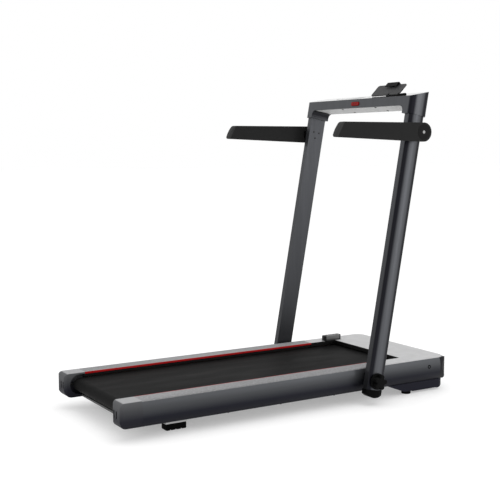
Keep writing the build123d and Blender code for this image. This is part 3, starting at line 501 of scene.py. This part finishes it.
LOOKS = {
    "rail": rail_look(),
    # low and corner set how deep the painted shade goes towards the post's foot and in the corner
    # under the console.
    "post": post_look("post_anodised", (0.058, 0.060, 0.066), low=0.55),
    "sleeve": post_look("console_shell", (0.068, 0.070, 0.076), corner=0.12),
    "strip": strip_look(),
    "trim": trim_look(),
    "cap": cap_look(),
    "bumper": moulded("bumper_mould", grey(0.0075, 1.35), 0.42, 0.18, specular=0.15),
    "belt": belt_look(),
    "board": board_look(),
    "frame": satin_metal("frame_coated", grey(0.05), 0.5, 0.3),
    "bracket": satin_metal("bracket_zinc", grey(0.42), 0.42, 0.8),
    "steel": steel_look(),
    "black": moulded("black_mould", grey(0.0022), 0.5, specular=0.05),
    "housing": moulded("housing_mould", (0.0055, 0.0055, 0.0125), 0.5, specular=0.12),
    "hood": hood_look(),
    "foot": rubber("foot_rubber", 0.0015),
    "boot": rubber("boot_rubber", 0.0012, 0.6),
    "drive": rubber("drive_belt_rubber", 0.014),
    "motor": motor_look(),
    "cover": moulded("cover_mould", grey(0.45), 0.5, 0.12),
    "panel": panel_look(),
    "screw": satin_metal("screw_black_zinc", grey(0.02), 0.35, 0.8, (1, 1, 1)),
    "circuit": circuit_look(),
    "key": key_look(),
    "plate": moulded("plate_mould", grey(0.040, 1.03), 0.5, 0.2, specular=0.12),
    "arm": moulded("armrest_mould", grey(0.0165), 0.6, 0.3, 0.5 * MM, 0.06),
    "skin": rubber("armrest_skin_grain", 0.036, 0.62),
    "disc": disc_look(),
    "remote": remote_look(),
    "legend": moulded("key_legend", grey(0.16), 0.4, 0.15),
    "wheel": wheel_look(),
}

WEARS = {
    "rail": ["left_side_rail", "right_side_rail"],
    "strip": ["left_foot_strip", "right_foot_strip"],
    "trim": ["red_trims"],
    "cap": ["left_rear_cap", "right_rear_cap"],
    "bumper": ["front_bumper"],
    "belt": ["running_belt"],
    "board": ["running_board"],
    "frame": ["rear_cross_member", "support_cross_members", "motor_bracket", "roller_axles"],
    "bracket": ["rear_foot_brackets"],
    "steel": [
        "rear_roller",
        "front_roller",
        "rear_roller_bearings",
        "front_roller_bearings",
        "motor_pulley",
        "wheel_axles",
    ],
    "black": [
        "pivot_brackets",
        "roller_pulley",
        "controller_box",
        "power_inlet",
        "left_lock_knob",
        "right_lock_knob",
        "armrest_hubs",
        "safety_key_socket",
        "phone_holder_base",
        "phone_clip",
    ],
    "housing": ["lower_housing"],
    "hood": ["motor_hood"],
    "foot": ["front_feet", "rear_feet", "deck_cushions"],
    "boot": ["post_end_caps"],
    "drive": ["drive_belt"],
    "motor": ["drive_motor"],
    "post": ["left_post", "right_post"],
    "sleeve": ["console_frame"],
    "panel": ["console_top_panel"],
    "cover": ["console_underside_cover"],
    "screw": ["console_screws", "armrest_hub_screws", "tension_bolts"],
    "circuit": ["display_board"],
    "key": ["safety_key", "power_rocker"],
    "plate": ["phone_plate"],
    "arm": ["left_armrest", "right_armrest"],
    "skin": ["left_armrest_skin", "right_armrest_skin"],
    "disc": ["left_armrest_disc", "right_armrest_disc"],
    "remote": ["remote_control"],
    "wheel": ["left_transport_wheel", "right_transport_wheel"],
}

for look_name, wearers in WEARS.items():
    for wearer in wearers:
        mesh = nodes[wearer].data
        mesh.materials.clear()
        mesh.materials.append(LOOKS[look_name].material)


# ---------------------------------------------------------------- detail pieces

def piece(name, bm, look, body):
    """Make a mesh object that rides on a body."""
    mesh = bpy.data.meshes.new(name)
    bmesh.ops.recalc_face_normals(bm, faces=bm.faces)
    bm.to_mesh(mesh)
    bm.free()
    for polygon in mesh.polygons:
        polygon.use_smooth = True
    made = bpy.data.objects.new(name, mesh)
    bpy.context.scene.collection.objects.link(made)
    mesh.materials.append(LOOKS[look].material)
    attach(made, body)


def slab(bm, matrix, size_x, size_y, z0, z1, corner):
    """A rounded slab with a small chamfer round its upper edge."""
    edge = min(SLAB_CHAMFER, (z1 - z0) / 2)
    rings = []
    for inset, z in ((0, z0), (0, z1 - edge), (edge, z1)):
        points = []
        for quadrant, (sx, sy) in enumerate(((1, 1), (-1, 1), (-1, -1), (1, -1))):
            for step in range(CORNER_STEPS + 1):
                angle = (quadrant + step / CORNER_STEPS) * pi / 2
                x = sx * (size_x / 2 - corner) + (corner - inset) * cos(angle)
                y = sy * (size_y / 2 - corner) + (corner - inset) * sin(angle)
                points.append(bm.verts.new(matrix @ Vector((x, y, z))))
        rings.append(points)
    bm.faces.new(list(reversed(rings[0])))
    bm.faces.new(rings[-1])
    for lower, upper in zip(rings, rings[1:]):
        for i, corner_point in enumerate(lower):
            j = (i + 1) % len(lower)
            bm.faces.new((corner_point, lower[j], upper[j], upper[i]))


def turned(bm, matrix, profile, steps=40):
    """A turned part about local Z, from (radius, height) pairs in millimetres."""
    rings = []
    for radius, height in ((r * MM, h * MM) for r, h in profile):
        if radius == 0:
            rings.append([bm.verts.new(matrix @ Vector((0, 0, height)))])
            continue
        points = []
        for step in range(steps):
            angle = 2 * pi * step / steps
            point = Vector((radius * cos(angle), radius * sin(angle), height))
            points.append(bm.verts.new(matrix @ point))
        rings.append(points)
    for lower, upper in zip(rings, rings[1:]):
        for i in range(steps):
            j = (i + 1) % steps
            turns = ((lower, i), (lower, j), (upper, j), (upper, i))
            corners = dict.fromkeys(ring[k % len(ring)] for ring, k in turns)
            bm.faces.new(list(corners))


def bowed_side(z):
    """Distance of the rail's outer surface from the middle, at a height.

    The surface is an arc through its top edge, its widest line and its bottom edge.
    """
    points = ((278.5 * MM, RAIL_TOP), (286 * MM, 94 * MM), (268 * MM, RAIL_LOW))
    (x1, y1), (x2, y2), (x3, y3) = points
    d = 2 * (x1 * (y2 - y3) + x2 * (y3 - y1) + x3 * (y1 - y2))
    s1, s2, s3 = x1 * x1 + y1 * y1, x2 * x2 + y2 * y2, x3 * x3 + y3 * y3
    cx = (s1 * (y2 - y3) + s2 * (y3 - y1) + s3 * (y1 - y2)) / d
    cy = (s1 * (x3 - x2) + s2 * (x1 - x3) + s3 * (x2 - x1)) / d
    radius = sqrt((x1 - cx) ** 2 + (y1 - cy) ** 2)
    return cx + sqrt(radius * radius - (z - cy) ** 2)


def rail_plugs():
    """A small push-in plug on each rail, beside the motor."""
    bm = bmesh.new()
    forward, height = at(1332.6 * MM), 102 * MM
    profile = [(0, -1.5), (7.5, -1.5), (7.5, 0.1), (6.9, 0.6), (4.4, 0.5), (4, -0.3), (0, -0.4)]
    for side in (-1, 1):
        face = side * bowed_side(height)
        outward = Matrix.Rotation(-side * pi / 2, 4, "X")
        turned(bm, Matrix.Translation((forward, face, height)) @ outward, profile)
    piece("rail_plugs", bm, "foot", "deck")


def console_controls():
    """A smoked display window and four touch keys on the console's top."""
    middle = HALF_CONSOLE / cos(CONSOLE_SLOPE)
    clear, window_top, symbol_top = 0.1 * MM, 0.45 * MM, 0.35 * MM
    window = bmesh.new()
    spot = CONSOLE_TOP @ Matrix.Translation((middle, 90 * MM, 0))
    slab(window, spot, 34 * MM, 150 * MM, clear, window_top, 5 * MM)
    piece("display_window", window, "panel", "upright_frame")
    keys = bmesh.new()
    ring = [(6.2, 0.1), (6.2, 0.35), (5.4, 0.35), (5.4, 0.1), (6.2, 0.1)]
    for y in (-26, 26, 156, 186):
        spot = CONSOLE_TOP @ Matrix.Translation((middle, y * MM, 0))
        turned(keys, spot, ring)
        slab(keys, spot, 1.0 * MM, 5.0 * MM, clear, symbol_top, 0.4 * MM)
    piece("touch_keys", keys, "legend", "upright_frame")


def key_marks():
    """Two small grip bars on the safety key."""
    bm = bmesh.new()
    key_face = -HALF_CONSOLE - 3.4 * MM
    facing = Matrix.Rotation(-pi / 2, 4, "Y")
    for y in (-7, 7):
        spot = Matrix.Translation((key_face, y * MM, KEY_UP)) @ facing
        slab(bm, UPRIGHT @ spot, 7 * MM, 2.4 * MM, -0.5 * MM, 0.35 * MM, 0.8 * MM)
    piece("key_grip_bars", bm, "black", "key")


def remote_keys():
    """A row of four keys on top of the handset."""
    low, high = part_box("remote_control")
    size, count = 11 * MM, 4
    bm = bmesh.new()
    middle = (low + high) / 2
    for i in range(count):
        x = low.x + (high.x - low.x) * (i + 1) / (count + 1)
        spot = Matrix.Translation((x, middle.y, high.z))
        slab(bm, spot, size, size, -1 * MM, 0.5 * MM, 3 * MM)
    piece("remote_keys", bm, "black", "remote")


def deck_screws():
    """Pan-head screws along the underside of each rail."""
    bm = bmesh.new()
    down = Matrix.Rotation(pi, 4, "X")
    profile = [(0, -0.5), (4, -0.5), (4, 0.6), (2.8, 1.8), (1.4, 1.9), (1.2, 1.0), (0, 1.0)]
    for x in (420, 640, 880, 1110):
        for y in (-262, 262):
            spot = Matrix.Translation((at(x * MM), y * MM, RAIL_LOW))
            turned(bm, spot @ down, profile, 24)
    piece("deck_screws", bm, "screw", "deck")


rail_plugs()
console_controls()
key_marks()
remote_keys()
deck_screws()


# ---------------------------------------------------------------- studio

def area_light(name, location, aim, power, width, height):
    lamp = bpy.data.lights.new(name, "AREA")
    lamp.shape = "RECTANGLE"
    lamp.size, lamp.size_y = width, height
    lamp.energy = power
    made = bpy.data.objects.new(name, lamp)
    bpy.context.scene.collection.objects.link(made)
    made.location = location
    made.rotation_mode = "QUATERNION"
    made.rotation_quaternion = (Vector(aim) - Vector(location)).to_track_quat("-Z", "Y")


def floor():
    """A wide pale floor just below the feet, with a glow that keeps its shadows light."""
    reach, gap, glow = 40.0, 0.2 * MM, 0.36
    bm = bmesh.new()
    bmesh.ops.create_grid(bm, x_segments=1, y_segments=1, size=reach)
    mesh = bpy.data.meshes.new("floor")
    bm.to_mesh(mesh)
    bm.free()
    made = bpy.data.objects.new("floor", mesh)
    bpy.context.scene.collection.objects.link(made)
    made.location.z = -gap
    look = Look("floor_pale", grey(0.66), 0.85, specular=0.05).mottle(0.01, 1.5)
    look.shader.inputs["Emission Color"].default_value = (1, 1, 1, 1)
    look.shader.inputs["Emission Strength"].default_value = glow
    mesh.materials.append(look.material)


def studio():
    """White surroundings, a soft light from above and two from the sides."""
    world = bpy.data.worlds.new("studio")
    world.use_nodes = True
    background = world.node_tree.nodes["Background"]
    background.inputs["Color"].default_value = (1, 1, 1, 1)
    background.inputs["Strength"].default_value = 1.0
    bpy.context.scene.world = world
    bpy.context.scene.view_settings.view_transform = "Standard"
    area_light("top_softbox", (0.2, -0.3, 3.6), (0, 0, 0), power=30, width=3.0, height=3.0)
    area_light("side_strip", (2.6, -3.2, 1.2), (0.3, 0, 0.6), power=12, width=0.5, height=2.6)
    area_light("rear_fill", (-3.6, 1.4, 1.6), (0, 0, 0.6), power=6, width=2.0, height=2.0)


def camera():
    """The photo's camera, solved from the straight edges of the deck, posts and console."""
    data = bpy.data.cameras.new("camera")
    data.sensor_width = 36.0
    data.lens = 69.92
    data.clip_end = 200
    made = bpy.data.objects.new("camera", data)
    bpy.context.scene.collection.objects.link(made)
    yaw, pitch = radians(58.24), radians(5.92)
    made.location = (-1.9853, -3.1328, 0.9615)
    aim = Vector((cos(yaw) * cos(pitch), sin(yaw) * cos(pitch), -sin(pitch)))
    made.rotation_mode = "QUATERNION"
    made.rotation_quaternion = aim.to_track_quat("-Z", "Y")
    bpy.context.scene.camera = made


floor()
studio()
camera()
